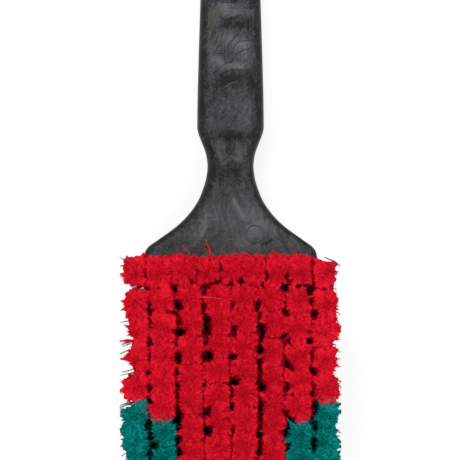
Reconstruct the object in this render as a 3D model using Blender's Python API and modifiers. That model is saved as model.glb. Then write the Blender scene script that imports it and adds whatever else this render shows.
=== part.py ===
"""Hand scrub brush: a one-piece moulded block and handle, set with rows of splayed tufts.

The brush lies on its back. +Z is the way the bristles point, +Y runs from the toe to the handle,
and the origin is the middle of the head's flat back. Run it from Blender's text editor, or with
blender --background --python part.py.
"""

import math
import random

import bmesh
import bpy
from mathutils import Vector

# Head of the brush, in metres
HEAD_LENGTH = 0.148
HEAD_WIDTH = 0.0749
HEAD_THICKNESS = 0.022
HEAD_TOP_EDGE = 0.002
HEAD_BACK_EDGE = 0.0045
TOE_CORNER = 0.016

# Handle: widths and thicknesses, then distances from the shoulder, where the head ends
HANDLE_LENGTH = 0.172
NECK_WIDTH = 0.0199
GRIP_WIDTH = 0.0288
BUTT_WIDTH = 0.0235
NECK_THICKNESS = 0.0148
GRIP_THICKNESS = 0.0182
GRIP_LIFT = 0.0013
NECK_LIFT = 0.0024
GRIP_EDGE_ACROSS = 0.0050
GRIP_EDGE_DOWN = 0.0056
GRIP_CROWN = 0.0006
SIDE_DRAFT = 0.0004
NECK_DISTANCE = 0.0387
GRIP_DISTANCE = 0.0555
RAMP_LENGTH = 0.0130
END_EDGE = 0.0050
HANG_HOLE = 0.0090
HANG_HOLE_FLARE = 0.0012
HANG_HOLE_FROM_END = 0.0150

# Tufts: the margins run from the head's edges to the middles of the outer holes, the bow is how far
# the middle rows bend towards the toe at their ends, and the splays are those of the trimmed tips
SIDE_MARGIN = 0.0056
END_MARGIN = 0.00835
ROW_BOW = 0.0082
BRISTLE_LENGTH = 0.045
TUFT_HOLE = 0.0046
TIP_SCATTER = 0.0007
SPLAY_ACROSS_SHARE = 1.25
SPLAY_ALONG_SHARE = 1.035
ROOT_FILL_SHARE = 0.92
TIP_FILL_SHARE = 0.95
ROUND_SHARE = 0.72
SLIT_SHARE = 0.06

# Slices of the block that carry the rows
BED_MARGIN = 0.0028
SLICE_DEPTH = 0.0060
FIT_GAP = 0.0003
ROOT_DEPTH = 0.0012
CUT_OVERRUN = 0.0050
MOST_EDGE_SHARE = 0.80
BUTT_TURN_SHARE = 0.985

# Counts
COLUMNS = 8
ROWS = 14
HEEL_COLUMNS = 9
TOE_COLUMNS = 6
FIRST_GREEN_ROW = 6
GREEN_COLUMNS = 2
TIP_SEED = 7
ARC_STEPS = 4
END_STEPS = 6
HOLE_SIDES = 24
SMOOTH_DEGREES = 38

# The shoulder sweep: share of the way from the shoulder to the neck, and share of the way
# from the neck's half width out to the head's
SHOULDER_SHARES = (
    (0.00, 1.000),
    (0.045, 0.982),
    (0.09, 0.944),
    (0.18, 0.776),
    (0.27, 0.597),
    (0.355, 0.446),
    (0.445, 0.320),
    (0.535, 0.220),
    (0.625, 0.142),
    (0.75, 0.070),
    (0.875, 0.020),
    (1.00, 0.000),
)

# The flare from the neck up to the grip, as shares of that stretch and of the step in half width
FLARE_SHARES = ((0.15, 0.04), (0.36, 0.20), (0.565, 0.49), (0.77, 0.79), (0.90, 0.945), (1.00, 1.00))

# The grip's taper to the butt, as shares of that stretch and of the loss in half width
GRIP_TAPER_SHARES = ((0.09, 0.03), (0.26, 0.19), (0.52, 0.51), (1.00, 1.00))

# Where the head's flat face dips towards the neck, as shares of the shoulder's length and of the drop
DIP_SHARES = ((0.15, 0.05), (0.40, 0.36), (0.70, 0.80), (0.92, 1.00))

COLUMN_PITCH = (HEAD_WIDTH - 2 * SIDE_MARGIN) / (COLUMNS - 1)
ROW_PITCH = (HEAD_LENGTH - 2 * END_MARGIN) / (ROWS - 1)
HEAD_END = HEAD_LENGTH / 2
HANDLE_END = HEAD_END + HANDLE_LENGTH
NECK_PLACE = HEAD_END + NECK_DISTANCE
GRIP_PLACE = HEAD_END + GRIP_DISTANCE
BUTT_ROUND = BUTT_WIDTH / 2
BUTT_PLACE = HANDLE_END - BUTT_ROUND
NECK_TOP = NECK_LIFT + NECK_THICKNESS
GRIP_TOP = GRIP_LIFT + GRIP_THICKNESS


def clear_scene():
    for old in list(bpy.data.objects):
        bpy.data.objects.remove(old, do_unlink=True)


def new_collection(name):
    collection = bpy.data.collections.new(name)
    bpy.context.scene.collection.children.link(collection)
    return collection


def new_finish(name, colour, roughness, metallic=0.0):
    finish = bpy.data.materials.new(name)
    finish.use_nodes = True
    shader = finish.node_tree.nodes["Principled BSDF"]
    shader.inputs["Base Color"].default_value = (*colour, 1.0)
    shader.inputs["Roughness"].default_value = roughness
    shader.inputs["Metallic"].default_value = metallic
    finish.diffuse_color = (*colour, 1.0)
    return finish


def new_object(name, shape, collection, finishes=()):
    """Turn a bmesh into an object; its faces keep the finish number that they were given."""
    bmesh.ops.recalc_face_normals(shape, faces=shape.faces)
    mesh = bpy.data.meshes.new(name)
    shape.to_mesh(mesh)
    shape.free()
    for finish in finishes:
        mesh.materials.append(finish)
    made = bpy.data.objects.new(name, mesh)
    collection.objects.link(made)
    return made


def as_cutter(made):
    made.hide_render = True
    made.display_type = "WIRE"
    return made


def boolean(made, other, operation):
    step = made.modifiers.new(f"{operation.lower()}_{other.name}", "BOOLEAN")
    step.operation = operation
    step.object = other
    step.solver = "EXACT"


def add_plate(shape, outline, low, high):
    """A flat outline raised from one height to another."""
    base = shape.faces.new([shape.verts.new((x, y, low)) for x, y in outline])
    raised = bmesh.ops.extrude_face_region(shape, geom=[base])["geom"]
    corners = [part for part in raised if isinstance(part, bmesh.types.BMVert)]
    bmesh.ops.translate(shape, verts=corners, vec=Vector((0.0, 0.0, high - low)))


def through(knots, place):
    """A smooth curve through the knots that never overshoots them."""
    if place <= knots[0][0]:
        return knots[0][1]
    if place >= knots[-1][0]:
        return knots[-1][1]
    steps = [b[0] - a[0] for a, b in zip(knots, knots[1:])]
    rises = [(b[1] - a[1]) / step for a, b, step in zip(knots, knots[1:], steps)]
    slopes = [rises[0]]
    for before, after in zip(rises, rises[1:]):
        level = before * after <= 0
        slopes.append(0.0 if level else 2 * before * after / (before + after))
    slopes.append(rises[-1])
    at = max(i for i, knot in enumerate(knots[:-1]) if knot[0] <= place)
    t = (place - knots[at][0]) / steps[at]
    start = (2 * t + 1) * (1 - t) ** 2 * knots[at][1]
    end = t * t * (3 - 2 * t) * knots[at + 1][1]
    leave = t * (1 - t) ** 2 * steps[at] * slopes[at]
    arrive = t * t * (t - 1) * steps[at] * slopes[at + 1]
    return start + end + leave + arrive


def along(share_pairs, start, end, first, last):
    """Knots between two places, whose values run from first to last by the shares given."""
    return [(start + (end - start) * s, first + (last - first) * v) for s, v in share_pairs]


WIDTH_KNOTS = (
    along(SHOULDER_SHARES, HEAD_END, NECK_PLACE, NECK_WIDTH / 2, HEAD_WIDTH / 2)
    + along(FLARE_SHARES, NECK_PLACE, GRIP_PLACE, NECK_WIDTH / 2, GRIP_WIDTH / 2)
    + along(GRIP_TAPER_SHARES, GRIP_PLACE, BUTT_PLACE, GRIP_WIDTH / 2, BUTT_WIDTH / 2)
)
TOP_KNOTS = (
    [(HEAD_END, HEAD_THICKNESS)]
    + along(DIP_SHARES, HEAD_END, NECK_PLACE, HEAD_THICKNESS, NECK_TOP)
    + [(NECK_PLACE, NECK_TOP), (NECK_PLACE + RAMP_LENGTH, GRIP_TOP)]
)
LIFT_KNOTS = [(HEAD_END, 0.0), (NECK_PLACE, NECK_LIFT), (GRIP_PLACE, GRIP_LIFT)]


def rounding(distance, radius):
    """How far a rounded edge has fallen at this distance from the end that it turns into."""
    reach = max(0.0, radius - distance)
    return radius - math.sqrt(radius * radius - reach * reach)


def half_width(place):
    """Half the plan width, with the toe's corners and the handle's round end."""
    from_toe = place + HEAD_END
    if from_toe < TOE_CORNER:
        return HEAD_WIDTH / 2 - rounding(from_toe, TOE_CORNER)
    if place > BUTT_PLACE:
        reach = (place - BUTT_PLACE) / BUTT_ROUND * BUTT_TURN_SHARE
        return BUTT_ROUND * math.sqrt(1 - reach * reach)
    return through(WIDTH_KNOTS, place)


def half_section(place):
    """The right half of the body's section, from its top centre down to its back's centre."""
    half = half_width(place)
    handle = through([(HEAD_END, 0.0), (NECK_PLACE, 1.0)], place)
    top = through(TOP_KNOTS, place) - rounding(place + HEAD_END, HEAD_TOP_EDGE)
    low = through(LIFT_KNOTS, place) + rounding(place + HEAD_END, HEAD_BACK_EDGE)
    top -= rounding(HANDLE_END - place, END_EDGE)
    low += rounding(HANDLE_END - place, END_EDGE)
    edge_across = HEAD_TOP_EDGE + (GRIP_EDGE_ACROSS - HEAD_TOP_EDGE) * handle
    edge_down = HEAD_TOP_EDGE + (GRIP_EDGE_DOWN - HEAD_TOP_EDGE) * handle
    back = HEAD_BACK_EDGE + (GRIP_EDGE_DOWN - HEAD_BACK_EDGE) * handle
    crown = GRIP_CROWN * handle
    draft = min(SIDE_DRAFT, (1 - MOST_EDGE_SHARE) * half / 2)
    room = (top - low) / 2 - draft
    edge_across = min(edge_across, MOST_EDGE_SHARE * half)
    edge_down = min(edge_down, room)
    back_across = min(back, MOST_EDGE_SHARE * half)
    back_up = min(back, room)
    flat = half - draft - edge_across
    points = [(0.0, top), (flat / 2, top - crown / 4), (flat, top - crown)]
    for step in range(1, ARC_STEPS + 1):
        turn = math.pi / 2 * step / ARC_STEPS
        across = flat + edge_across * math.sin(turn)
        points.append((across, top - crown - (edge_down - crown) * (1 - math.cos(turn))))
    points.append((half, (top + low) / 2))
    for step in range(ARC_STEPS + 1):
        turn = math.pi / 2 * step / ARC_STEPS
        across = half - draft - back_across * (1 - math.cos(turn))
        points.append((across, low + back_up * (1 - math.sin(turn))))
    points.append((0.0, low))
    return [Vector((x, place, z)) for x, z in points]


def even(first, last, count):
    return [first + (last - first) * i / count for i in range(count + 1)]


def body_places():
    """Where the sections stand: close together where the outline turns, far apart where it runs."""
    turns = [math.pi / 2 * i / END_STEPS for i in range(END_STEPS + 1)]
    toe = [TOE_CORNER * (1 - math.cos(turn)) - HEAD_END for turn in turns]
    shoulder = [HEAD_END + NECK_DISTANCE * share for share, _ in SHOULDER_SHARES]
    flare = [NECK_PLACE + (GRIP_PLACE - NECK_PLACE) * share for share, _ in FLARE_SHARES]
    grip = even(GRIP_PLACE, BUTT_PLACE, END_STEPS)[1:]
    butt = [BUTT_PLACE + BUTT_ROUND * math.sin(turn) for turn in turns[1:]]
    return toe + shoulder + flare + grip + butt


def add_body(collection, cutters, black):
    """The moulding: one half skinned from toe to butt, mirrored, then cut for the bed and the hole."""
    shape = bmesh.new()
    sections = [[shape.verts.new(point) for point in half_section(y)] for y in body_places()]
    for here, there in zip(sections, sections[1:]):
        for i in range(len(here) - 1):
            shape.faces.new((here[i], there[i], there[i + 1], here[i + 1]))
    shape.faces.new(sections[0])
    shape.faces.new(list(reversed(sections[-1])))
    body = new_object("brush_body", shape, collection, [black])
    mirror = body.modifiers.new("left_half", "MIRROR")
    mirror.use_clip = True
    mirror.merge_threshold = FIT_GAP / 3
    boolean(body, add_bed_cutter(cutters), "DIFFERENCE")
    boolean(body, add_hang_hole_cutter(cutters), "DIFFERENCE")
    body.data.shade_smooth()
    body.data.set_sharp_from_angle(angle=math.radians(SMOOTH_DEGREES))
    return body


def row_border(line, x):
    """How far along the head the border after this many rows lies, at this distance across it."""
    inner = COLUMN_PITCH / 2
    outer = (COLUMNS - 1) / 2 * COLUMN_PITCH
    off = max(0.0, abs(x) - inner) / (outer - inner)
    return (ROWS / 2 - line) * ROW_PITCH - ROW_BOW * off * math.sin(math.pi * line / ROWS)


def bed_half(columns):
    return (columns - 1) / 2 * COLUMN_PITCH + BED_MARGIN


def add_bed_cutter(cutters):
    """The bed is as deep as the slices and stands a fit gap clear of them all round."""
    clear = FIT_GAP / 2
    wide = bed_half(COLUMNS) + FIT_GAP
    narrow = bed_half(TOE_COLUMNS) + FIT_GAP
    right = [
        (wide, row_border(0, wide) + clear),
        (wide, row_border(ROWS - 1, wide) - clear),
        (narrow, row_border(ROWS - 1, narrow) - clear),
        (narrow, row_border(ROWS, narrow) - clear),
    ]
    left = [(-x, y) for x, y in reversed(right)]
    shape = bmesh.new()
    add_plate(shape, right + left, HEAD_THICKNESS - SLICE_DEPTH - FIT_GAP, HEAD_THICKNESS + CUT_OVERRUN)
    return as_cutter(new_object("bed_cutter", shape, cutters))


def add_hang_hole_cutter(cutters):
    """A turned cutter: a straight hole that flares out at both faces of the handle."""
    radius = HANG_HOLE / 2
    wide = radius + HANG_HOLE_FLARE + CUT_OVERRUN
    top = GRIP_TOP + CUT_OVERRUN
    low = GRIP_LIFT - CUT_OVERRUN
    profile = [
        (0.0, top),
        (wide, top),
        (radius, GRIP_TOP - HANG_HOLE_FLARE),
        (radius, GRIP_LIFT + HANG_HOLE_FLARE),
        (wide, low),
        (0.0, low),
    ]
    shape = bmesh.new()
    points = [shape.verts.new((x, 0.0, z)) for x, z in profile]
    for a, b in zip(points, points[1:]):
        shape.edges.new((a, b))
    cutter = as_cutter(new_object("hang_hole_cutter", shape, cutters))
    cutter.location = (0.0, HANDLE_END - HANG_HOLE_FROM_END, 0.0)
    turn = cutter.modifiers.new("turned", "SCREW")
    turn.axis = "Z"
    turn.steps = HOLE_SIDES
    turn.render_steps = HOLE_SIDES
    turn.use_merge_vertices = True
    turn.merge_threshold = FIT_GAP / 3
    return cutter


def tuft_columns(row):
    """The places of a row's tufts across the head, and the pitch between them."""
    if row == 1:
        pitch = COLUMN_PITCH * (COLUMNS - 1) / (HEEL_COLUMNS - 1)
        return HEEL_COLUMNS, pitch
    if row == ROWS:
        return TOE_COLUMNS, COLUMN_PITCH
    return COLUMNS, COLUMN_PITCH


def tuft_quarter(centre, reach, quarter):
    """The four corners of one strand: a quarter of a round tuft, with a slit between the quarters."""
    corners = ((SLIT_SHARE, SLIT_SHARE), (1, SLIT_SHARE), (ROUND_SHARE, ROUND_SHARE), (SLIT_SHARE, 1))
    sized = Vector((reach.x * quarter[0], reach.y * quarter[1]))
    return [centre + Vector((sized.x * across, sized.y * towards, 0.0)) for across, towards in corners]


def add_tuft(shape, x, row, pitch, chance):
    """Four strands of four sides from one hole, each a sheaf of filaments, which lean and spread."""
    heel = row_border(row - 1, x)
    toe = row_border(row, x)
    y = (heel + toe) / 2
    face = Vector((x, y, HEAD_THICKNESS - ROOT_DEPTH))
    tip_reach = Vector((pitch * SPLAY_ACROSS_SHARE, (heel - toe) * SPLAY_ALONG_SHARE)) / 2 * TIP_FILL_SHARE
    root_reach = tip_reach * (TUFT_HOLE / 2 * ROOT_FILL_SHARE / max(tip_reach))
    for quarter in ((1, 1), (-1, 1), (-1, -1), (1, -1)):
        height = HEAD_THICKNESS + BRISTLE_LENGTH - TIP_SCATTER * chance.random()
        tip = Vector((x * SPLAY_ACROSS_SHARE, y * SPLAY_ALONG_SHARE, height))
        corners = tuft_quarter(face, root_reach, quarter) + tuft_quarter(tip, tip_reach, quarter)
        hull = bmesh.ops.convex_hull(shape, input=[shape.verts.new(corner) for corner in corners])
        for piece in hull["geom"]:
            if isinstance(piece, bmesh.types.BMFace):
                piece.material_index = 1


def slice_outline(row, left, right):
    """A slice's outline, which follows the bow of the borders on both sides of its row."""
    bends = [x for x in (-COLUMN_PITCH / 2, COLUMN_PITCH / 2) if left < x < right]
    across = [left, *bends, right]
    clear = FIT_GAP / 2
    heel = [(x, row_border(row - 1, x) - clear) for x in across]
    toe = [(x, row_border(row, x) + clear) for x in reversed(across)]
    return heel + toe


def add_row_slice(name, row, columns, finish, black, collection, cutters, chance):
    """A strip of the block's face with some of one row's tufts, all one solid."""
    count, pitch = tuft_columns(row)
    centres = [(column - (count - 1) / 2) * pitch for column in columns]
    edge = bed_half(TOE_COLUMNS if row == ROWS else COLUMNS)
    left = -edge if columns[0] == 0 else centres[0] - pitch / 2 + FIT_GAP / 2
    right = edge if columns[-1] == count - 1 else centres[-1] + pitch / 2 - FIT_GAP / 2
    shape = bmesh.new()
    add_plate(shape, slice_outline(row, left, right), HEAD_THICKNESS - SLICE_DEPTH, HEAD_THICKNESS)
    made = new_object(name, shape, collection, [black, finish])
    tufts = bmesh.new()
    for x in centres:
        add_tuft(tufts, x, row, pitch, chance)
    boolean(made, as_cutter(new_object(f"{name}_strands", tufts, cutters, [black, finish])), "UNION")
    return made


def add_tuft_field(collection, cutters, black, red, green):
    """Red rows; each side's outermost column turns green at the sixth, the next one a row later."""
    chance = random.Random(TIP_SEED)
    made = []
    for row in range(1, ROWS + 1):
        count = tuft_columns(row)[0]
        missing = (COLUMNS - count) // 2 if row == ROWS else 0
        side = max(0, min(GREEN_COLUMNS, row - FIRST_GREEN_ROW + 1) - missing)
        groups = [
            ("green_left", range(side), green),
            ("red", range(side, count - side), red),
            ("green_right", range(count - side, count), green),
        ]
        for ending, columns, finish in groups:
            if columns:
                where = (f"tuft_row_{row:02d}_{ending}", row, list(columns), finish, black)
                made.append(add_row_slice(*where, collection, cutters, chance))
    return made


def build():
    clear_scene()
    collection = new_collection("hand_scrub_brush")
    cutters = new_collection("cutters")
    black = new_finish("black_plastic", (0.035, 0.037, 0.038), 0.42)
    red = new_finish("red_bristle", (0.62, 0.006, 0.018), 0.60)
    green = new_finish("green_bristle", (0.003, 0.19, 0.14), 0.60)
    brush = bpy.data.objects.new("hand_scrub_brush", None)
    collection.objects.link(brush)
    pieces = [add_body(collection, cutters, black)]
    pieces += add_tuft_field(collection, cutters, black, red, green)
    for piece in pieces:
        piece.parent = brush


build()
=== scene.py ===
import math

import bmesh
import bpy
import numpy as np
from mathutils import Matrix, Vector


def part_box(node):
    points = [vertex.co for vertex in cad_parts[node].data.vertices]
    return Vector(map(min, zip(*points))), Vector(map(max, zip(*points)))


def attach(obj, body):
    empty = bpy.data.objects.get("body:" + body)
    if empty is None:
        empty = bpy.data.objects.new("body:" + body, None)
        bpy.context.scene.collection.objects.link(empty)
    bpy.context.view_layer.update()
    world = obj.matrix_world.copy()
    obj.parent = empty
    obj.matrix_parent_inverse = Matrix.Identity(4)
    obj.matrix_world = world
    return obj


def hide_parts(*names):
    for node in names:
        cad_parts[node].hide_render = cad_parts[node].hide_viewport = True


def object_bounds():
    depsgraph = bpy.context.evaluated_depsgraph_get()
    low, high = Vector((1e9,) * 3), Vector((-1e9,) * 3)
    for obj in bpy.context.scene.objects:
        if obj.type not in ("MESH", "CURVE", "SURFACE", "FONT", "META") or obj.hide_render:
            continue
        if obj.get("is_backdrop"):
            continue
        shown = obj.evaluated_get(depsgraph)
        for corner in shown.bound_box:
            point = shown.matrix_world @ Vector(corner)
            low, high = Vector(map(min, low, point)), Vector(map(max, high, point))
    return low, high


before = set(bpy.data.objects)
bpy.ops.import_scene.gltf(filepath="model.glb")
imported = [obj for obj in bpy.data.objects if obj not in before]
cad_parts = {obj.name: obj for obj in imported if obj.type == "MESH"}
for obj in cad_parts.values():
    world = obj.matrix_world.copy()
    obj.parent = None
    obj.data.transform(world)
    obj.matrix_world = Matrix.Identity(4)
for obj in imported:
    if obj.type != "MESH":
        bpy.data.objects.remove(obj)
cad_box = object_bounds()

# The view: straight down on the bristles, with the brush on its back and its handle away from the
# viewer. The photograph's pixels are turned into places on the moulding by one scale, which the
# hand-sized grip gives. All sizes are in metres.
MIDDLE_PIXEL = (230.0, 230.0)
BRUSH_PIXEL = 230.5
SHOULDER_PIXEL = 256.0
PIXEL = 0.00043
VIEW_HEIGHT = 1.6
MOULDING_HEIGHT = 0.020
SENSOR = 36.0

head_end = -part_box("brush_body")[0].y


def on_moulding(across, down):
    """The place on the moulding that a pixel of the photograph shows."""
    return (across - BRUSH_PIXEL) * PIXEL, head_end + (SHOULDER_PIXEL - down) * PIXEL


view = bpy.data.cameras.new("view")
view.sensor_width = SENSOR
half_frame = MIDDLE_PIXEL[0] * PIXEL
view.lens = SENSOR / 2 * (VIEW_HEIGHT - MOULDING_HEIGHT) / half_frame
camera = bpy.data.objects.new("view", view)
camera.location = (*on_moulding(*MIDDLE_PIXEL), VIEW_HEIGHT)
bpy.context.scene.collection.objects.link(camera)
bpy.context.scene.camera = camera
bpy.context.scene.view_settings.view_transform = "Standard"


# The ground: a white sheet under plain studio light, with the key lamp at the upper left, a wider
# fill at the right and one beyond the toe. What the camera sees of the sheet is lifted to white, and
# the brush's shadow stays on it.
SHEET_WIDTH = 6.0
SHEET_DROP = 0.0002
LAMPS = (
    ("key", (-0.55, 0.75, 1.30), 0.90, 11.0),
    ("fill", (0.90, -0.10, 1.10), 1.10, 6.0),
    ("back", (0.10, -1.00, 1.00), 1.00, 5.0),
)
AIM = Vector((0.0, 0.08, 0.02))
SKY = 0.55
WHITE = (1.0, 1.0, 1.0, 1.0)
PAPER = (0.80, 0.80, 0.80, 1.0)
SEEN_PAPER = (0.34, 0.34, 0.34, 1.0)
SEEN_LIFT = 0.74


class Wire:
    """An output that can be reckoned with: each sum on it adds its Math node."""

    def __init__(self, finish, socket):
        self.finish = finish
        self.socket = socket

    def sum(self, operation, other=0.0):
        return self.finish.node("ShaderNodeMath", {"operation": operation}, {0: self, 1: other})

    def __add__(self, other):
        return self.sum("ADD", other)

    def __mul__(self, other):
        return self.sum("MULTIPLY", other)

    def __sub__(self, other):
        return self.sum("SUBTRACT", other)

    def __rsub__(self, other):
        return self * -1.0 + other

    __radd__ = __add__
    __rmul__ = __mul__


class Finish:
    """A material, or the sky, and the one method that adds any node to it."""

    def __init__(self, name, owner=None):
        self.owner = owner or bpy.data.materials.new(name)
        self.owner.use_nodes = True
        self.tree = self.owner.node_tree
        self.tree.nodes.clear()

    def node(self, kind, settings, sockets, out=0):
        made = self.tree.nodes.new(kind)
        for name, value in settings.items():
            if name == "stops":
                ramp = made.color_ramp.elements
                while len(ramp) < len(value):
                    ramp.new(0.5)
                for stop, (place, shade) in zip(ramp, value):
                    stop.position = place
                    stop.color = (shade, shade, shade, 1.0)
            else:
                setattr(made, name, value)
        for key, value in sockets.items():
            if isinstance(value, Wire):
                self.tree.links.new(value.socket, made.inputs[key])
            else:
                made.inputs[key].default_value = value
        return Wire(self, made.outputs[out]) if made.outputs else None

    def ramp(self, wire, *stops):
        return self.node("ShaderNodeValToRGB", {"stops": stops}, {"Fac": wire})

    def mix(self, share, first, second):
        sockets = {"Factor": share, 6: first, 7: second}
        return self.node("ShaderNodeMix", {"data_type": "RGBA"}, sockets, 2)

    def noise(self, place, scale, detail, roughness=0.55, distortion=0.0):
        sockets = {"Vector": place, "Scale": scale, "Detail": detail, "Roughness": roughness}
        sockets["Distortion"] = distortion
        return self.node("ShaderNodeTexNoise", {}, sockets)

    def attribute(self, name, out):
        return self.node("ShaderNodeAttribute", {"attribute_name": name}, {}, out)

    def seen_rays(self):
        """1 for what the camera sees, also in gloss or through glass, and 0 for light on the object."""
        kinds = ("Camera", "Glossy", "Transmission")
        rays = [self.node("ShaderNodeLightPath", {}, {}, f"Is {kind} Ray") for kind in kinds]
        return (rays[0] + rays[1] + rays[2]).sum("MINIMUM", 1.0)

    def bump(self, height, strength, distance):
        sockets = {"Height": height, "Strength": strength, "Distance": distance}
        return self.node("ShaderNodeBump", {}, sockets)

    def surface(self, **sockets):
        named = {name.replace("_", " "): value for name, value in sockets.items()}
        self.show(self.node("ShaderNodeBsdfPrincipled", {}, named))

    def show(self, wire):
        self.node("ShaderNodeOutputMaterial", {}, {"Surface": wire})


def add_piece(name, mesh, finish, slot=None):
    piece = bpy.data.objects.new(name, mesh)
    bpy.context.scene.collection.objects.link(piece)
    mesh.materials.append(finish.owner)
    if slot:
        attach(piece, "root")
    return piece


for lamp_name, place, width, watts in LAMPS:
    lamp = bpy.data.lights.new(lamp_name, "AREA")
    lamp.size = width
    lamp.energy = watts
    holder = bpy.data.objects.new(lamp_name, lamp)
    holder.location = place
    holder.rotation_euler = (AIM - Vector(place)).to_track_quat("-Z", "Y").to_euler()
    bpy.context.scene.collection.objects.link(holder)

sky = Finish("sky", bpy.data.worlds.new("sky"))
bpy.context.scene.world = sky.owner
strength = SKY + (1.0 - SKY) * sky.seen_rays()
light = sky.node("ShaderNodeBackground", {}, {"Color": WHITE, "Strength": strength})
sky.node("ShaderNodeOutputWorld", {}, {"Surface": light})

sheet_shape = bmesh.new()
bmesh.ops.create_grid(sheet_shape, x_segments=1, y_segments=1, size=SHEET_WIDTH / 2)
sheet_mesh = bpy.data.meshes.new("white_sheet")
sheet_shape.to_mesh(sheet_mesh)
sheet_shape.free()
white = Finish("white_sheet")
seen = white.seen_rays()
matt = white.node("ShaderNodeBsdfDiffuse", {}, {"Color": white.mix(seen, PAPER, SEEN_PAPER)})
lift = white.node("ShaderNodeEmission", {}, {"Color": WHITE, "Strength": SEEN_LIFT * seen})
white.show(white.node("ShaderNodeAddShader", {}, {0: matt, 1: lift}))
sheet = add_piece("white_sheet", sheet_mesh, white)
sheet.location.z = -SHEET_DROP
sheet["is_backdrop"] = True


# The block and handle: one moulding of black structural foam plastic, with a satin skin that shows
# the silvery swirls and fold lines where the melt met. It is skinned here from fine sections, with
# the fold lines pressed in, the hang hole cut, and the round witness mark laid on its shoulder.
body_low, body_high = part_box("brush_body")
HEAD_WIDTH = body_high.x - body_low.x
HEAD_THICKNESS = body_high.z
HANDLE_END = body_high.y
HEAD_TOP_EDGE = 0.002
HEAD_BACK_EDGE = 0.0045
TOE_CORNER = 0.016
NECK_WIDTH = 0.0199
GRIP_WIDTH = 0.0288
BUTT_WIDTH = 0.0235
NECK_THICKNESS = 0.0148
GRIP_THICKNESS = 0.0182
GRIP_LIFT = 0.0013
NECK_LIFT = 0.0024
GRIP_EDGE_ACROSS = 0.0050
GRIP_EDGE_DOWN = 0.0056
GRIP_CROWN = 0.0006
SIDE_DRAFT = 0.0004
NECK_DISTANCE = 0.0387
GRIP_DISTANCE = 0.0555
RAMP_LENGTH = 0.0130
END_EDGE = 0.0050
HANG_HOLE = 0.0090
HANG_HOLE_FLARE = 0.0012
HANG_HOLE_FROM_END = 0.0150
MOST_EDGE_SHARE = 0.80
BUTT_TURN_SHARE = 0.985

# How the half width, and the top, fall from one named place to the next: share of the way, and share
# of the change
SHOULDER_SHARES = (
    (0.00, 1.000), (0.045, 0.982), (0.09, 0.944), (0.18, 0.776), (0.27, 0.597), (0.355, 0.446),
    (0.445, 0.320), (0.535, 0.220), (0.625, 0.142), (0.75, 0.070), (0.875, 0.020), (1.00, 0.000),
)
FLARE_SHARES = ((0.15, 0.04), (0.36, 0.20), (0.565, 0.49), (0.77, 0.79), (0.90, 0.945), (1.00, 1.00))
GRIP_TAPER_SHARES = ((0.09, 0.03), (0.26, 0.19), (0.52, 0.51), (1.00, 1.00))
DIP_SHARES = ((0.15, 0.05), (0.40, 0.36), (0.70, 0.80), (0.92, 1.00))

neck_place = head_end + NECK_DISTANCE
grip_place = head_end + GRIP_DISTANCE
butt_round = BUTT_WIDTH / 2
butt_place = HANDLE_END - butt_round
neck_top = NECK_LIFT + NECK_THICKNESS
grip_top = GRIP_LIFT + GRIP_THICKNESS


def through(knots, place):
    """A smooth curve through the knots that never overshoots them."""
    if place <= knots[0][0]:
        return knots[0][1]
    if place >= knots[-1][0]:
        return knots[-1][1]
    steps = [b[0] - a[0] for a, b in zip(knots, knots[1:])]
    rises = [(b[1] - a[1]) / step for a, b, step in zip(knots, knots[1:], steps)]
    slopes = [rises[0]]
    for before, after in zip(rises, rises[1:]):
        level = before * after <= 0
        slopes.append(0.0 if level else 2 * before * after / (before + after))
    slopes.append(rises[-1])
    at = max(i for i, knot in enumerate(knots[:-1]) if knot[0] <= place)
    t = (place - knots[at][0]) / steps[at]
    start = (2 * t + 1) * (1 - t) ** 2 * knots[at][1]
    end = t * t * (3 - 2 * t) * knots[at + 1][1]
    leave = t * (1 - t) ** 2 * steps[at] * slopes[at]
    arrive = t * t * (t - 1) * steps[at] * slopes[at + 1]
    return start + end + leave + arrive


def along(share_pairs, start, end, first, last):
    return [(start + (end - start) * s, first + (last - first) * v) for s, v in share_pairs]


width_knots = (
    along(SHOULDER_SHARES, head_end, neck_place, NECK_WIDTH / 2, HEAD_WIDTH / 2)
    + along(FLARE_SHARES, neck_place, grip_place, NECK_WIDTH / 2, GRIP_WIDTH / 2)
    + along(GRIP_TAPER_SHARES, grip_place, butt_place, GRIP_WIDTH / 2, BUTT_WIDTH / 2)
)
top_knots = (
    [(head_end, HEAD_THICKNESS)]
    + along(DIP_SHARES, head_end, neck_place, HEAD_THICKNESS, neck_top)
    + [(neck_place, neck_top), (neck_place + RAMP_LENGTH, grip_top)]
)
lift_knots = [(head_end, 0.0), (neck_place, NECK_LIFT), (grip_place, GRIP_LIFT)]


def rounding(distance, radius):
    reach = max(0.0, radius - distance)
    return radius - math.sqrt(radius * radius - reach * reach)


def half_width(place):
    """Half the plan width, with the toe's corners and the handle's round end."""
    from_toe = place + head_end
    if from_toe < TOE_CORNER:
        return HEAD_WIDTH / 2 - rounding(from_toe, TOE_CORNER)
    if place > butt_place:
        reach = (place - butt_place) / butt_round * BUTT_TURN_SHARE
        return butt_round * math.sqrt(1 - reach * reach)
    return through(width_knots, place)


FLAT_STEPS = 56
ARC_STEPS = 10
SIDE_STEPS = 6
BACK_STEPS = 12


def handle_share(place):
    """0 on the head and 1 from the neck on."""
    return through([(head_end, 0.0), (neck_place, 1.0)], place)


def draft_of(half):
    """How far a side leans inwards, where the section has this half width."""
    return min(SIDE_DRAFT, (1 - MOST_EDGE_SHARE) * half / 2)


def flat_half(place):
    """Half the width of the flat face, inside the rounded edges."""
    half = half_width(place)
    edge = HEAD_TOP_EDGE + (GRIP_EDGE_ACROSS - HEAD_TOP_EDGE) * handle_share(place)
    return half - draft_of(half) - min(edge, MOST_EDGE_SHARE * half)


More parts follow.
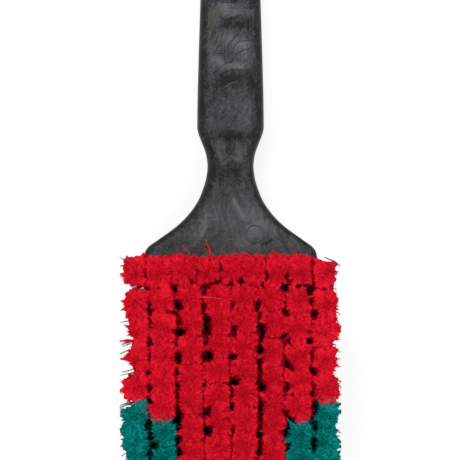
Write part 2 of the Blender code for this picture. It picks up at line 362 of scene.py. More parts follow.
def half_section(place):
    """The right half of the moulding's section, from its top centre down to its back's centre."""
    half = half_width(place)
    handle = handle_share(place)
    top = through(top_knots, place) - rounding(place + head_end, HEAD_TOP_EDGE)
    low = through(lift_knots, place) + rounding(place + head_end, HEAD_BACK_EDGE)
    top -= rounding(HANDLE_END - place, END_EDGE)
    low += rounding(HANDLE_END - place, END_EDGE)
    draft = draft_of(half)
    room = (top - low) / 2 - draft
    flat = flat_half(place)
    across = half - draft - flat
    down = min(HEAD_TOP_EDGE + (GRIP_EDGE_DOWN - HEAD_TOP_EDGE) * handle, room)
    back = HEAD_BACK_EDGE + (GRIP_EDGE_DOWN - HEAD_BACK_EDGE) * handle
    back_across = min(back, MOST_EDGE_SHARE * half)
    back_up = min(back, room)
    crown = GRIP_CROWN * handle
    flat_steps = [i / FLAT_STEPS for i in range(FLAT_STEPS + 1)]
    points = [(flat * share, top - crown * share**2) for share in flat_steps]
    for step in range(1, ARC_STEPS + 1):
        turn = math.pi / 2 * step / ARC_STEPS
        fall = crown + (down - crown) * (1 - math.cos(turn))
        points.append((flat + across * math.sin(turn), top - fall))
    for step in range(1, SIDE_STEPS):
        share = step / SIDE_STEPS
        slack = draft * abs(2 * share - 1)
        points.append((half - slack, top - down + (low + back_up - top + down) * share))
    for step in range(ARC_STEPS + 1):
        turn = math.pi / 2 * step / ARC_STEPS
        inset = draft + back_across * (1 - math.cos(turn))
        points.append((half - inset, low + back_up * (1 - math.sin(turn))))
    inner = half - draft - back_across
    points += [(inner * (1 - i / BACK_STEPS), low) for i in range(1, BACK_STEPS + 1)]
    return points


# Places of the sections, with the step that each stretch needs
HEAD_STEP = 0.0020
SHOULDER_STEP = 0.0006
GRIP_STEP = 0.00028
BUTT_STEP = 0.0012
END_TURNS = 14


def stretch(first, last, step):
    count = max(1, round((last - first) / step))
    return [first + (last - first) * i / count for i in range(count)]


seen_end = head_end + SHOULDER_PIXEL * PIXEL
turns = [math.pi / 2 * i / END_TURNS for i in range(END_TURNS + 1)]
places = [TOE_CORNER * (1 - math.cos(turn)) - head_end for turn in turns[:-1]]
places += stretch(TOE_CORNER - head_end, head_end - HEAD_STEP, HEAD_STEP)
places += stretch(head_end - HEAD_STEP, neck_place, SHOULDER_STEP)
places += stretch(neck_place, seen_end, GRIP_STEP)
places += stretch(seen_end, butt_place, BUTT_STEP)
places += [butt_place + butt_round * math.sin(turn) for turn in turns]

# What the skin shows, as pixels of the photograph: the fold lines where the melt met, the fine ridges
# beside them, then soft strokes and clouds with their half sizes, turn and tone. The strokes and clouds are
# partly the silvery swirl and partly painted highlights and painted shade, where light falls on the curved
# top and sides.
FOLDS = (
    ((226.5, 47), (231, 42), (235, 37), (240.5, 31)),
    ((233, 50), (234.7, 46), (238.8, 41.3), (245, 40.6), (250.5, 40.3)),
    ((235.2, 54.6), (241.8, 51), (250.5, 47.8)),
    ((214.3, 73), (221.4, 66.3), (225.5, 63.3), (232.7, 61.2)),
    ((220.4, 75), (225.5, 71.9), (231.6, 70.2), (237.8, 69.4), (244.9, 70.6), (251, 68.2), (256.6, 66.3)),
    ((221.4, 18.9), (229.6, 19.9), (236.7, 17.9), (238.8, 15.3)),
    ((226, 137.7), (233, 137.2), (241.6, 136.4)),
    ((209, 40), (212, 36), (213, 31)),
    ((214, 52), (216.5, 50), (218, 47)),
    ((213, 53), (224, 53.5)),
    ((222.5, 79), (222, 84), (224.5, 88.5)),
    ((222, 2), (230, 2.5), (238, 0.5)),
)
RIDGES = (
    ((223.5, 88.3), (229.6, 83.7), (237.8, 81.1)),
    ((221, 11), (232, 10), (252, 10.6)),
    ((223, 13.2), (236, 12.8), (251, 13)),
    ((224, 5), (229, 3.5), (234, 6)),
    ((227, 17), (233, 15), (236, 11)),
    ((209.5, 62), (213, 57.5), (218.5, 53.5)),
    ((211, 64.5), (215.5, 60), (221, 56)),
    ((213, 66.5), (217.5, 62.5), (222, 59)),
    ((208.5, 58), (211, 55), (215, 52)),
    ((211, 45), (215, 38), (217.5, 33)),
    ((214, 49), (217.5, 44), (220, 38)),
    ((233, 201), (236, 206), (239, 212)),
    ((238, 210), (242, 216), (246, 221)),
    ((205.5, 215), (205, 224), (203, 233)),
    ((262, 226), (265, 222), (268, 220)),
)
FOLD_DEPTH = 0.00010
FOLD_WIDTH = 0.00021
RIDGE_WIDTH = 0.00028
RIDGE_RISE = 0.00004
SWIRL_AND_LIGHT_STROKES = (
    (((251.6, 165), (251.6, 173), (254, 182), (257, 191), (260.5, 199), (264.6, 206.5)), 1.8, -1.0),
    (((263, 206.5), (269.2, 214.5), (276.2, 221.8), (285.6, 229.5), (297.2, 237), (306.6, 243.5)), 2.8, -0.9),
    (((213, 150), (213.5, 166), (213, 180), (209, 194)), 2.6, -0.6),
    (((207, 198), (200, 209), (190, 219), (176, 229), (160, 239)), 4.5, -0.5),
    (((234, 200), (239, 209), (243, 218)), 2.3, 0.6),
    (((240, 193), (244, 199), (248, 205)), 2.0, 0.35),
    (((235.5, 202), (239.5, 209.5), (243.5, 216.5)), 1.1, 0.7),
    (((247, 228), (253, 225), (263, 222)), 1.6, 0.5),
    (((261.5, 245), (265, 244), (268.5, 242), (272, 239.4)), 1.2, -1.1),
    (((207, 214), (205, 226), (202, 236)), 1.6, 0.6),
    (((218, 143), (220, 154), (223, 161)), 3.2, 0.4),
    (((238, 143), (239, 152), (241, 159)), 3.0, 0.4),
    (((201, 77), (203, 110)), 1.5, -0.5),
    (((255, 60), (257, 100), (258, 120)), 2.0, -0.15),
)
SWIRL_AND_LIGHT_CLOUDS = (
    (228, 7, 9, 4, 0, 0.7),
    (232, 12, 13, 4, 0, 0.45),
    (229, -1, 30, 3, 0, -0.6),
    (252, 5, 7, 6, 0, -0.3),
    (244, 24, 8, 7, 0, -0.55),
    (218, 30, 5, 4, 0, -0.5),
    (242, 12, 4, 3, 0, -0.5),
    (229, 26, 16, 5, 0, -0.3),
    (232, 40, 15, 7, 35, 0.9),
    (244, 43, 7, 5, 0, 0.7),
    (216, 58, 7, 6, 40, 0.3),
    (221, 64, 8, 4, 40, 0.8),
    (236, 66, 13, 4, 8, 1.0),
    (247, 57, 8, 6, 0, 0.25),
    (231, 79, 12, 7, -5, -0.8),
    (251, 81, 5, 11, 0, -0.7),
    (252, 64, 5, 3, 0, 0.35),
    (215, 88, 8, 12, 0, -0.35),
    (235, 103, 14, 9, 0, 0.45),
    (247, 110, 5, 14, 0, 0.3),
    (228, 124, 20, 5, 0, 0.2),
    (231, 136, 20, 5, 0, -0.7),
    (219, 152, 7, 10, 0, 0.45),
    (238, 152, 6, 10, 0, 0.3),
    (229, 155, 40, 24, 0, -0.30),
    (234, 171, 7, 5, 0, -0.6),
    (216, 168, 7, 14, 0, -0.45),
    (231, 179, 22, 8, 0, -0.3),
    (225, 188, 12, 8, 0, -0.2),
    (254, 232, 8, 8, 0, 0.7),
    (251, 214, 10, 8, -35, 0.5),
    (256, 246, 16, 4, 0, 0.5),
    (225, 236, 16, 10, 0, -0.3),
    (196, 236, 10, 8, 30, 0.35),
    (285, 240, 14, 7, 30, -0.2),
    (187, 234, 8, 5, 60, -0.4),
    (208, 249, 8, 3, 0, -0.5),
    (243, 239, 6, 5, 0, 0.5),
    (268, 228, 5, 12, -50, 0.5),
    (231, 228, 45, 26, 0, 0.35),
    (229, 100, 60, 36, 0, -0.30),
    (229, 28, 60, 16, 0, -0.20),
)
STAINS = ((211.5, 17.5, 4.0, 6.5), (209.5, 35, 2.2, 5.0), (215, 11, 3, 3))

# Where the skin is painted darker: a painted shade along its rounded sides, with the band's width in
# pixels at the head, the neck and the grip, and a painted shade, tinted red, on the ground between the
# tufts, which fades in from the shoulder and fades out down the head's sides. Only the upper side has
# folds.
SIDE_SHADE_BAND = ((head_end, neck_place, grip_place), (7.0, 7.0, 10.0))
SIDE_SHADE_START = 1.25
TUFT_SHADE_FADE = 0.004
TUFT_SHADE_DOWN = 0.0042
TUFT_SHADE_START = 1.5
UPPER_LEAST = 0.5
FAR_OFF = 1.0


def near_lines(points, lines):
    """The distance of each point from the nearest of the lines."""
    nearest = np.full(len(points), FAR_OFF)
    for line in lines:
        corners = np.array([on_moulding(*pixel) for pixel in line])
        for a, b in zip(corners, corners[1:]):
            way = b - a
            share = np.clip((points - a) @ way / (way @ way), 0, 1)[:, None]
            nearest = np.minimum(nearest, np.linalg.norm(points - a - share * way, axis=1))
    return nearest


def soft(distance, width):
    return np.exp(-((distance / width) ** 2))


def blot(points, across, down, wide, long, turn=0.0):
    """A soft oval patch, 1 in its middle."""
    off = points - np.array(on_moulding(across, down))
    lean = math.radians(turn)
    u = (off[:, 0] * math.cos(lean) - off[:, 1] * math.sin(lean)) / (wide * PIXEL)
    v = (off[:, 0] * math.sin(lean) + off[:, 1] * math.cos(lean)) / (long * PIXEL)
    return np.exp(-(u * u + v * v))


def skinned(name, rings):
    """A closed skin over rings of equal count, with a cap at each end."""
    count = len(rings[0])
    corners = np.array(rings, float).reshape(-1, 3)
    starts = np.arange(len(rings) - 1)[:, None] * count
    here = starts + np.arange(count)
    after = starts + (np.arange(count) + 1) % count
    quads = np.stack([here, here + count, after + count, after], axis=2).reshape(-1, 4)
    mesh = bpy.data.meshes.new(name)
    last = (len(rings) - 1) * count
    faces = quads.tolist() + [list(range(count)), list(range(last + count - 1, last - 1, -1))]
    mesh.from_pydata(corners.tolist(), [], faces)
    return mesh


def circle(x, y, z, radius, sides):
    turns = [2 * math.pi * i / sides for i in range(sides)]
    return [(x + radius * math.cos(turn), y + radius * math.sin(turn), z) for turn in turns]


HOLE_SIDES = 64
HOLE_OVERRUN = 0.002
hole_place = HANDLE_END - HANG_HOLE_FROM_END


def hang_hole_cutter():
    """A straight drill that swells at both faces, so that the lips of the hole are round."""
    radius = HANG_HOLE / 2
    lip = [math.pi / 2 * i / ARC_STEPS for i in range(ARC_STEPS + 1)]
    wide = radius + HANG_HOLE_FLARE
    deep = grip_top - HANG_HOLE_FLARE
    upper = [(wide - HANG_HOLE_FLARE * math.sin(t), deep + HANG_HOLE_FLARE * math.cos(t)) for t in lip]
    lower = [(r, GRIP_LIFT + grip_top - z) for r, z in reversed(upper)]
    profile = [(wide, grip_top + HOLE_OVERRUN), *upper, *lower, (wide, GRIP_LIFT - HOLE_OVERRUN)]
    return skinned("hang_hole_cutter", [circle(0.0, hole_place, z, r, HOLE_SIDES) for r, z in profile])


def cut(mesh, cutter_mesh):
    """The mesh less the cutter's, by the exact boolean."""
    made, cutter = (bpy.data.objects.new(one.name, one) for one in (mesh, cutter_mesh))
    for one in (made, cutter):
        bpy.context.scene.collection.objects.link(one)
    step = made.modifiers.new("hole", "BOOLEAN")
    step.object = cutter
    step.operation = "DIFFERENCE"
    step.solver = "EXACT"
    left = bpy.data.meshes.new_from_object(made.evaluated_get(bpy.context.evaluated_depsgraph_get()))
    for one in (made, cutter):
        bpy.data.objects.remove(one, do_unlink=True)
    return left


def moulding_rings():
    for place in places:
        half = half_section(place)
        yield [(x, place, z) for x, z in half] + [(-x, place, z) for x, z in half[-2:0:-1]]


def dress(mesh, extra_fold_shade=None):
    """Press the folds into a mesh on the moulding, and give its points what the finish reads."""
    corners = np.array([v.co for v in mesh.vertices])
    plan = corners[:, :2]
    widths = np.interp(plan[:, 1], places, [half_width(y) for y in places])
    face_top = np.interp(plan[:, 1], places, [through(top_knots, y) for y in places])
    upper = np.clip(1 - (face_top - corners[:, 2]) / GRIP_EDGE_DOWN, 0, 1)
    # The folds are pressed in, and painted near black as the shade in their grooves.
    fold = soft(near_lines(plan, FOLDS), FOLD_WIDTH) * (upper > UPPER_LEAST)
    # The ridges are raised, and painted lighter as their highlight.
    ridge = soft(near_lines(plan, RIDGES), RIDGE_WIDTH) * (upper > UPPER_LEAST)
    corners[:, 2] -= FOLD_DEPTH * fold - RIDGE_RISE * ridge
    if extra_fold_shade is not None:
        fold = np.maximum(fold, extra_fold_shade)
    # Clouds and strokes: partly the silvery swirl, partly painted highlights and painted shade on the curved
    # top.
    cloud = sum(tone * blot(plan, *patch) for *patch, tone in SWIRL_AND_LIGHT_CLOUDS)
    cloud += sum(tone * soft(near_lines(plan, [line]), wide * PIXEL) for line, wide, tone in SWIRL_AND_LIGHT_STROKES)
    inset = (widths - np.abs(plan[:, 0])) / PIXEL
    # The band along the rounded sides is a painted shade: darker colour where less light falls.
    sunk = np.clip(SIDE_SHADE_START - inset / np.interp(plan[:, 1], *SIDE_SHADE_BAND), 0, 1)
    # Painted shade under the tufts: the block's top is darkened from the shoulder on, and down its top edge.
    tuft_shade_rim = np.clip(TUFT_SHADE_START - (HEAD_THICKNESS - corners[:, 2]) / TUFT_SHADE_DOWN, 0, 1)
    values = {
        "fold": fold,
        "ridge": ridge,
        "cloud": cloud * upper,
        "stain": sum(blot(plan, *patch) for patch in STAINS) * upper,
        "side": sunk * sunk * (3 - 2 * sunk),
        "field": np.clip((head_end - plan[:, 1]) / TUFT_SHADE_FADE, 0, 1) * tuft_shade_rim,
    }
    mesh.vertices.foreach_set("co", corners.astype(np.float32).ravel())
    for name, value in values.items():
        layer = mesh.attributes.new(name, "FLOAT", "POINT")
        layer.data.foreach_set("value", value.astype(np.float32))
    flow = np.stack([plan[:, 0] / widths.clip(PIXEL), plan[:, 1], corners[:, 2]], axis=1)
    layer = mesh.attributes.new("flow", "FLOAT_VECTOR", "POINT")
    layer.data.foreach_set("vector", flow.astype(np.float32).ravel())
    mesh.shade_smooth()
    return mesh


# The finish: black with silvery swirls, and how strongly each marking shows over them, in its colour:
# the ridges' painted highlight, the stains, the folds' painted shade and the painted shade under the tufts
BLACK = (0.007, 0.0078, 0.0078, 1.0)
SILVER = (0.113, 0.116, 0.123, 1.0)
MARKINGS = (
    # the ridges: painted highlight on the raised lines
    ("ridge", 0.45, (0.125, 0.125, 0.130, 1.0)),
    ("stain", 0.55, (0.085, 0.079, 0.052, 1.0)),
    # the folds: painted shade in the pressed grooves
    ("fold", 0.90, (0.002, 0.002, 0.002, 1.0)),
    # painted shade under the tufts, tinted red
    ("field", 0.92, (0.012, 0.004, 0.004, 1.0)),
)
BUMP_STRENGTH = 0.30
BUMP_HEIGHT = 0.0004

plastic = Finish("black_moulding")
run = plastic.attribute("flow", "Vector")
solid = plastic.node("ShaderNodeTexCoord", {}, {}, "Object")


def stretched(place, *scale):
    return plastic.node("ShaderNodeMapping", {}, {"Vector": place, "Scale": scale})


# Each noise has how often it repeats across, along and up, then its detail, roughness and twist
swirl = plastic.noise(stretched(run, 2.6, 38.0, 60.0), 1.0, 6.0, 0.62, 1.6)
scratch = plastic.noise(stretched(run, 26.0, 60.0, 60.0), 1.0, 4.0, 0.65, 0.5)
cloudy = plastic.noise(stretched(solid, 110.0, 80.0, 110.0), 1.0, 8.0, 0.68, 2.4)
warp = plastic.noise(stretched(solid, 95.0, 75.0, 95.0), 1.0, 3.0, 0.5, 1.2)
fine = plastic.noise(solid, 430.0, 5.0, 0.70, 1.0)
grain = plastic.noise(solid, 1500.0, 3.0, 0.6)
vein = plastic.ramp(0.5 + 0.5 * (60.0 * warp).sum("SINE"), (0.72, 0.0), (0.97, 1.0))
side = plastic.attribute("side", "Fac")
mottle = 0.70 * cloudy + 0.40 * swirl + 0.30 * scratch + 0.42 * fine + 0.50 * grain
# The rounded sides are darkened here, a painted shade, and the clouds and strokes bring their painted
# highlights and shade.
tone = 0.34 * plastic.attribute("cloud", "Fac") + 0.13 * vein - 0.24 * side
silver = plastic.ramp(mottle + tone - 0.79, (0.13, 0.0), (0.38, 0.32), (0.80, 1.0))
shade = plastic.mix(silver, BLACK, SILVER)
for marking, share, colour in MARKINGS:
    shade = plastic.mix(share * plastic.attribute(marking, "Fac"), shade, colour)
matter = 0.38 * plastic.attribute("field", "Fac")
relief = 0.6 * cloudy + 0.2 * scratch + 0.2 * grain
plastic.surface(
    Base_Color=shade,
    Roughness=0.52 - 0.12 * silver + 0.10 * grain + matter,
    IOR=1.49,
    Specular_IOR_Level=0.14,
    Normal=plastic.bump(relief, BUMP_STRENGTH, BUMP_HEIGHT),
)

body_mesh = dress(cut(skinned("moulding", list(moulding_rings())), hang_hole_cutter()))
moulding = add_piece("brush_body_skin", body_mesh, plastic, "black_plastic")
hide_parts("brush_body")

# The witness mark: where the round end of a mould pin left a shallow disc with a sharp ring, which
# fades at two sides. The ring is a groove, painted dark as its shade. It is a thin disc of the same
# plastic, laid on the shoulder.
MARK_PIXEL = (254.9, 234.4)
MARK_RADIUS = 0.00380
MARK_LINE = 0.00022
MARK_RISE = 0.00006
MARK_RIM = 3
MARK_RINGS = 64
MARK_SIDES = 128
MARK_SHADE_FADE = 0.38
MARK_SHADE_FADE_TURN = 200.0


def add_witness_mark():
    x, y = on_moulding(*MARK_PIXEL)
    edge = MARK_RADIUS + MARK_RIM * MARK_LINE
    rings = []
    for radius in [edge * (i + 0.5) / MARK_RINGS for i in range(MARK_RINGS)]:
        ring = np.array(circle(x, y, 0.0, radius, MARK_SIDES))
        crown = [GRIP_CROWN * handle_share(v) * (u / flat_half(v)) ** 2 for u, v, _ in ring]
        top = np.array([through(top_knots, v) for v in ring[:, 1]]) - crown
        line = soft(radius - MARK_RADIUS, MARK_LINE)
        ring[:, 2] = top + MARK_RISE * (1 - line) * min(1.0, (edge - radius) / MARK_LINE)
        rings.append(ring.tolist())
    under = [[(u, v, w - MARK_RIM * MARK_RISE) for u, v, w in ring] for ring in (rings[-1], rings[0])]
    mesh = skinned("witness_mark", rings + under)
    off = np.array([v.co for v in mesh.vertices])[:, :2] - (x, y)
    turned = 2 * np.arctan2(off[:, 1], off[:, 0]) - math.radians(MARK_SHADE_FADE_TURN)
    line = soft(np.linalg.norm(off, axis=1) - MARK_RADIUS, MARK_LINE)
    # The ring's painted shade, fading at two sides.
    dress(mesh, line * (1 - MARK_SHADE_FADE + MARK_SHADE_FADE * np.cos(turned)))
    add_piece("witness_mark", mesh, plastic, "black_plastic")


add_witness_mark()


# The tufts: sheaves of synthetic filament, folded in two and driven into blind holes of the block by
# a flat wire anchor, then trimmed level and split at the ends until they are as soft as velvet. The
# rows' ends curve towards the toe, and the outer two columns turn green halfway down.
COLUMNS = 8
ROWS = 14
HEEL_COLUMNS = 9
TOE_COLUMNS = 6
FIRST_GREEN_ROW = 6
GREEN_COLUMNS = 2
SIDE_MARGIN = 0.0056
END_MARGIN = 0.00835
COLUMN_PITCH = (HEAD_WIDTH - 2 * SIDE_MARGIN) / (COLUMNS - 1)
ROW_PITCH = (2 * head_end - 2 * END_MARGIN) / (ROWS - 1)
ROW_BOW = 0.0082
SPLAY_ACROSS_SHARE = 1.25
SPLAY_ALONG_SHARE = 1.035
TRIM_HEIGHT = cad_box[1].z
TUFT_HOLE = 0.0046
ROOT_DEPTH = 0.0010

# The filaments of a tuft, how they bow and wave, and how evenly they are trimmed
FILAMENTS = 110
FILAMENT_WIDTH = 0.00034
FILAMENT_VARY = 0.15
FILAMENT_SHARES = np.array([0.0, 0.35, 0.7, 1.0])
FILAMENT_TAPER = np.array([1, 1, 1, 0.75])
SIDES = 3
BOW = 0.22
WAVE = 0.00030
WAVE_TURN = 7.0
ANY_TURN = 6.3
GOLDEN_TURN = math.pi * (3 - math.sqrt(5))
PLACE_ERROR = 0.00040
DOME = 0.0007
TRIM_ERROR = 0.0012
TUFT_TRIM = 0.0007
TUFT_WANDER = 0.00045

# The fine ends that each filament splits into
SPLIT_ENDS = 10
SPLIT_WIDTH = 0.00026
SPLIT_LENGTH = 0.0060
SPLIT_VARY = 0.2
SPLIT_SPREAD = 0.00070
SPLIT_SHARES = np.array([-0.05, 0.62, 1.0])
SPLIT_BEND = np.array([0.0, 0.62, 1.0])
SPLIT_CURL = np.array([0.0, 0.0, 1.0])
SPLIT_TAPER = np.array([1.0, 1.0, 0.55])
TIP_CURL = 0.00060
CURL_SINK = 0.3
TIP_DROP = 0.0010
OWN_TONE_SHARE = 0.80

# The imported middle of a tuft, from its root to its rough dome
HEART_SHARE = 0.975
HEART_ROOT_SHARE = 0.86
HEART_DROP = 0.0026
HEART_SIDES = 64
HEART_FLUTE = 0.03
HEART_ROUGH = 0.00050
HEART_RISES = (0.0, 0.2, 0.4, 0.6, 0.78, 0.92)
HEART_DOME = (0.94, 0.82, 0.68, 0.54, 0.40, 0.26, 0.12, 0.03)
HEART_TONES = (0.15, 0.6)

# How far a tuft spreads at the trim: full and squarish, with lumps, freer at the field's edge
FILL_SHARES = np.array([1.01, 1.14])
HEEL_FILL_SHARE = 1.07
FILL_POWER = 5.0
LUMP_SHARE = 0.07
LUMPS = 7
ROUGH_SHARE = 0.055
EDGE_FREE_SHARE = 0.45
TOE_FRINGE_SHARE = 0.16
LEAST_REACH_SHARE = 0.30
DIRECTIONS = 160

# Where a red tuft meets a green one: the red ends round, and the green reaches under it
MEETING_POWER = 2.6
MEETING_SHARE = 1.42
MEETING_DROP = 0.0006

# The ends at a tuft's border: some cross the gaps deeper down, stand out as fuzz or teeth, or sink lower
# and are painted darker, a painted shade. Some filaments are short, most of them in the outer tufts, and
# fill the gaps low down.
CROSSING_SHARE = 0.36
CROSSING_DROP = 0.0060
DEEP_SHARES = ((0.020, 0.036), (0.10, 0.55))
DEEP_DROP = 0.0075
DEEP_SPAN = (0.45, 1.0)
GAP_ROUGH = 0.00050
FUZZ_SHARE = 0.32
FUZZ_REACH = 0.0015
FUZZ_HEEL_SHARE = 0.3
TEETH = 64
TOOTH = 0.0029
TOOTH_POWER = 4
TOOTH_HEEL_SHARE = 0.30
BORDER_START = 0.62
BORDER_INSIDE = 0.97
BORDER_DROP = 0.0016
BORDER_SHADE = 0.60
BORDER_SHARE_SHADE = 0.42
DRAWN_SPAN = (0.84, 1.04)
SIDE_SHARE = 1.029
TINY = 1e-12
SEED = 22

# The dark gaps between the tufts, as pixels of the photograph: place, half width, half height and,
# where a gap leans, how many degrees its top leans to the right
GAPS = (
    (144.5, 273, 0.9, 5), (146.4, 288.3, 1.8, 3.6, -40), (149, 304, 1.2, 4), (149, 310, 4.5, 2.6),
    (149.8, 322.7, 0.9, 6), (149, 342, 3, 5.5), (149, 358, 1, 6), (148, 373, 4, 1.5),
    (149, 388, 2.5, 5), (149, 401, 2.6, 3.5), (173.9, 285.2, 3.6, 2.6), (176.2, 291.5, 1.2, 4),
    (177.7, 303, 4.5, 4.5), (179.3, 307.4, 5.5, 2.4), (168.6, 311.2, 4.2, 0.6),
    (179.6, 331.2, 7.4, 4.6), (180.8, 321.5, 1.5, 4.5), (178, 358, 4.6, 7.6), (177, 372, 2.6, 4),
    (178, 386, 3, 5), (178, 400, 1.5, 8), (178, 411, 3, 5), (197.3, 273, 0.8, 4.5),
    (191.5, 281.5, 2.5, 2.5), (205.3, 286.8, 5, 2.8), (213.7, 283, 1.3, 8.5, 68),
    (205.3, 293, 1.2, 3.5), (221, 268.4, 1, 5.5), (220.6, 279.8, 2.2, 2.2), (203.8, 306.5, 3.2, 3.7),
    (208.6, 324.5, 3.4, 10), (207.4, 334, 5.5, 3), (207, 341, 1.3, 5.5), (207.6, 356.2, 6.6, 6.4),
    (203.4, 385.5, 3, 1.6), (208.8, 412, 3, 6.4), (208, 431, 5, 5.5), (231.3, 284.4, 3.2, 2.6),
    (233.2, 303.6, 2.2, 3.2), (234.5, 328.5, 3.1, 4.3), (235, 335, 0.9, 3), (233.3, 356.5, 5.2, 3.2),
    (235.6, 380.5, 5.6, 4.6), (228.7, 384.3, 2.6, 1.5), (233, 393, 1.2, 6), (232.4, 407.3, 2.7, 5),
    (233, 430, 1.8, 4.6), (241, 281, 4, 4), (267, 276, 2, 6), (263, 285, 1, 4),
    (257.8, 304.6, 3.6, 6.8), (260.6, 315, 1.5, 4), (262.9, 329.5, 4.6, 7.4), (262, 341, 1.6, 4),
    (261, 350, 4, 5.2), (260.6, 361, 4, 4), (261.5, 372, 1.5, 6), (261.5, 380.5, 3.5, 3.2),
    (263.8, 387, 4.6, 5), (262.4, 403.6, 3, 5), (262, 411, 2.6, 6), (262, 424, 2.5, 7),
    (260, 435, 4, 4), (261, 443, 1.8, 5), (294, 420, 2.2, 2.5), (260, 452, 4, 6), (287, 277, 2, 5),
    (285, 288, 5, 4.5), (290, 282, 3, 2), (302, 286, 7, 1.5), (310, 290, 3.5, 6), (312, 302, 1.8, 4.5),
    (315.2, 314, 4.6, 5), (286.5, 313, 3.1, 5.4, -40), (286, 334.7, 2.6, 2.2),
    (290.2, 341.6, 1.4, 5, -20), (310, 341.6, 4, 4), (308, 331.5, 1.6, 2),
    (289.3, 364.8, 2.9, 10.5, -38), (288.8, 386, 2.6, 4.8, -20), (292.5, 395.5, 1.5, 3.5),
    (312.9, 355.5, 0.9, 8), (314.2, 371.2, 3.2, 5.6, -42), (314.7, 387.5, 1.2, 5),
    (313.3, 394.4, 3, 3.2), (316, 408, 4.4, 8), (286.5, 413.8, 3.6, 4.2, -30),
    (291, 419.6, 1.6, 4.5, -45), (313.5, 417.5, 2.2, 6.0, 15), (181, 416.5, 3.0, 4.2, -35),
    (288.5, 426, 2.2, 5), (286, 434, 4, 5), (289.5, 447, 1.4, 5), (316, 427, 3, 7), (316, 444, 5, 7),
    (147.5, 425, 5.5, 6), (150.5, 436, 3.5, 5), (153, 446, 5.5, 4.5), (149.5, 455, 4, 4.5),
    (177, 420, 6, 3), (178.5, 427, 3, 5), (178, 440, 5, 4.5), (180, 452, 3, 5), (137, 287.4, 7, 0.8),
)
GAP_SHARE = 0.90

# The outline of the trimmed face in the photograph, up its left side, along the heel and down its
# right side. The toe's half, which isn't in the photograph, mirrors it about the picture's lower edge.
FIELD_EDGE = (
    (126.5, 459.4), (126, 453), (121.6, 450.6), (122, 446), (124, 440), (124, 437.4), (120.6, 434.4),
    (119.6, 431), (120.4, 427), (124, 420.6), (121.9, 418.8), (121.5, 414.6), (122.8, 411),
    (129, 407.6), (134, 404.6), (127, 403.8), (120.6, 402), (123.4, 394.3), (119.5, 391),
    (122.7, 386.7), (119.5, 381.5), (133, 374), (134.4, 371.4), (131.6, 366.8), (130, 361.8),
    (123.4, 361.2), (121.6, 358.4), (124.9, 355.3), (129.4, 349.4), (132, 343.6), (133, 338.4),
    (129.4, 334), (128.8, 330.6), (127.4, 328), (128.4, 325.3), (128, 319.9), (123, 318.4),
    (126.1, 314.6), (125, 311.5), (122.7, 309.6), (123.8, 304.4), (121.6, 301.6), (125.3, 298.5),
    (125.7, 295.1), (122.7, 293.5), (126.9, 290.1), (129.6, 289), (134, 287.3), (129, 285),
    (124.8, 281.6), (123.4, 277.8), (120, 276.7), (123.4, 271), (121.5, 268.7), (123.4, 264.1),
    (120, 261.8), (126.1, 260.2), (122.3, 258.7), (123.8, 256.2), (134, 255.2), (146, 254.6),
    (160, 255.6), (172, 255.2), (178, 253.4), (186, 255), (203, 256.5), (212, 254), (216, 256.5),
    (227, 255), (233, 254.5), (235.5, 251.3), (238.5, 255.5), (252, 255), (257.5, 252.5), (262, 255.5),
    (267, 254.5), (272, 251), (276, 250.8), (279, 254), (285, 255.4), (301, 252.5), (308, 254.6),
    (317.5, 258.6), (329.5, 261.4), (335.4, 262.2), (340, 266.4), (335.4, 267), (336.2, 272.5),
    (335, 276.5), (337.8, 280.5), (334.2, 283.6), (333.8, 288.4), (336.6, 292.4), (339.8, 299.6),
    (337.4, 306.8), (337.4, 317.1), (339.8, 325.1), (342, 327.6), (339.8, 329.9), (339.8, 336.3),
    (332.7, 344.4), (338.2, 349.6), (339.4, 352.4), (336.6, 353.6), (337.8, 358.3), (336.2, 362.3),
    (337, 366), (333, 371), (334, 374.5), (338.4, 380.6), (339.8, 389.4), (341.4, 396.6), (336, 400),
    (339, 403.8), (340.6, 411.8), (339, 416.6), (337.6, 424), (337, 428), (337.8, 431.7),
    (336.6, 434.1), (342.2, 442.5), (340, 449), (338, 453.6), (340, 459.4),
)
MIRROR_PIXEL = 459.4

widest = cad_box[1].x * SIDE_SHARE - SPLIT_WIDTH
chance = np.random.default_rng(SEED)
tip_pixel = PIXEL * (VIEW_HEIGHT - TRIM_HEIGHT) / (VIEW_HEIGHT - MOULDING_HEIGHT)


def on_tips(across, down):
    """The place on the bristles' trimmed face that a pixel of the photograph shows."""
    x = camera.location.x + (across - MIDDLE_PIXEL[0]) * tip_pixel
    y = camera.location.y + (MIDDLE_PIXEL[1] - down) * tip_pixel
    return x, y


def gap_axes(wide, high, lean=0.0):
    """A gap's two axes, each as long as brings its edge to 1."""
    turn = math.radians(lean)
    axes = np.array([[math.cos(turn), -math.sin(turn)], [math.sin(turn), math.cos(turn)]])
    return axes / (np.array([[wide], [high]]) * tip_pixel * GAP_SHARE)


def mirrored(x, y, *shape):
    """The same spot or gap on the toe's half of the face."""
    return x, 2 * MIRROR_PIXEL - y, *shape[:2], *(-lean for lean in shape[2:])


all_gaps = [*GAPS, *(mirrored(*gap) for gap in GAPS)]
unseen_edge = [mirrored(*pixel) for pixel in reversed(FIELD_EDGE)]
gap_places = np.array([on_tips(x, y) for x, y, *_ in all_gaps])
gap_frames = np.array([gap_axes(*shape) for _, _, *shape in all_gaps])
edge_places = np.array([on_tips(*pixel) for pixel in (*FIELD_EDGE, *unseen_edge)])
edge_steps = np.roll(edge_places, -1, axis=0) - edge_places
turns_round = 2 * np.pi * np.arange(DIRECTIONS) / DIRECTIONS
ways_round = np.stack([np.cos(turns_round), np.sin(turns_round)], axis=1)


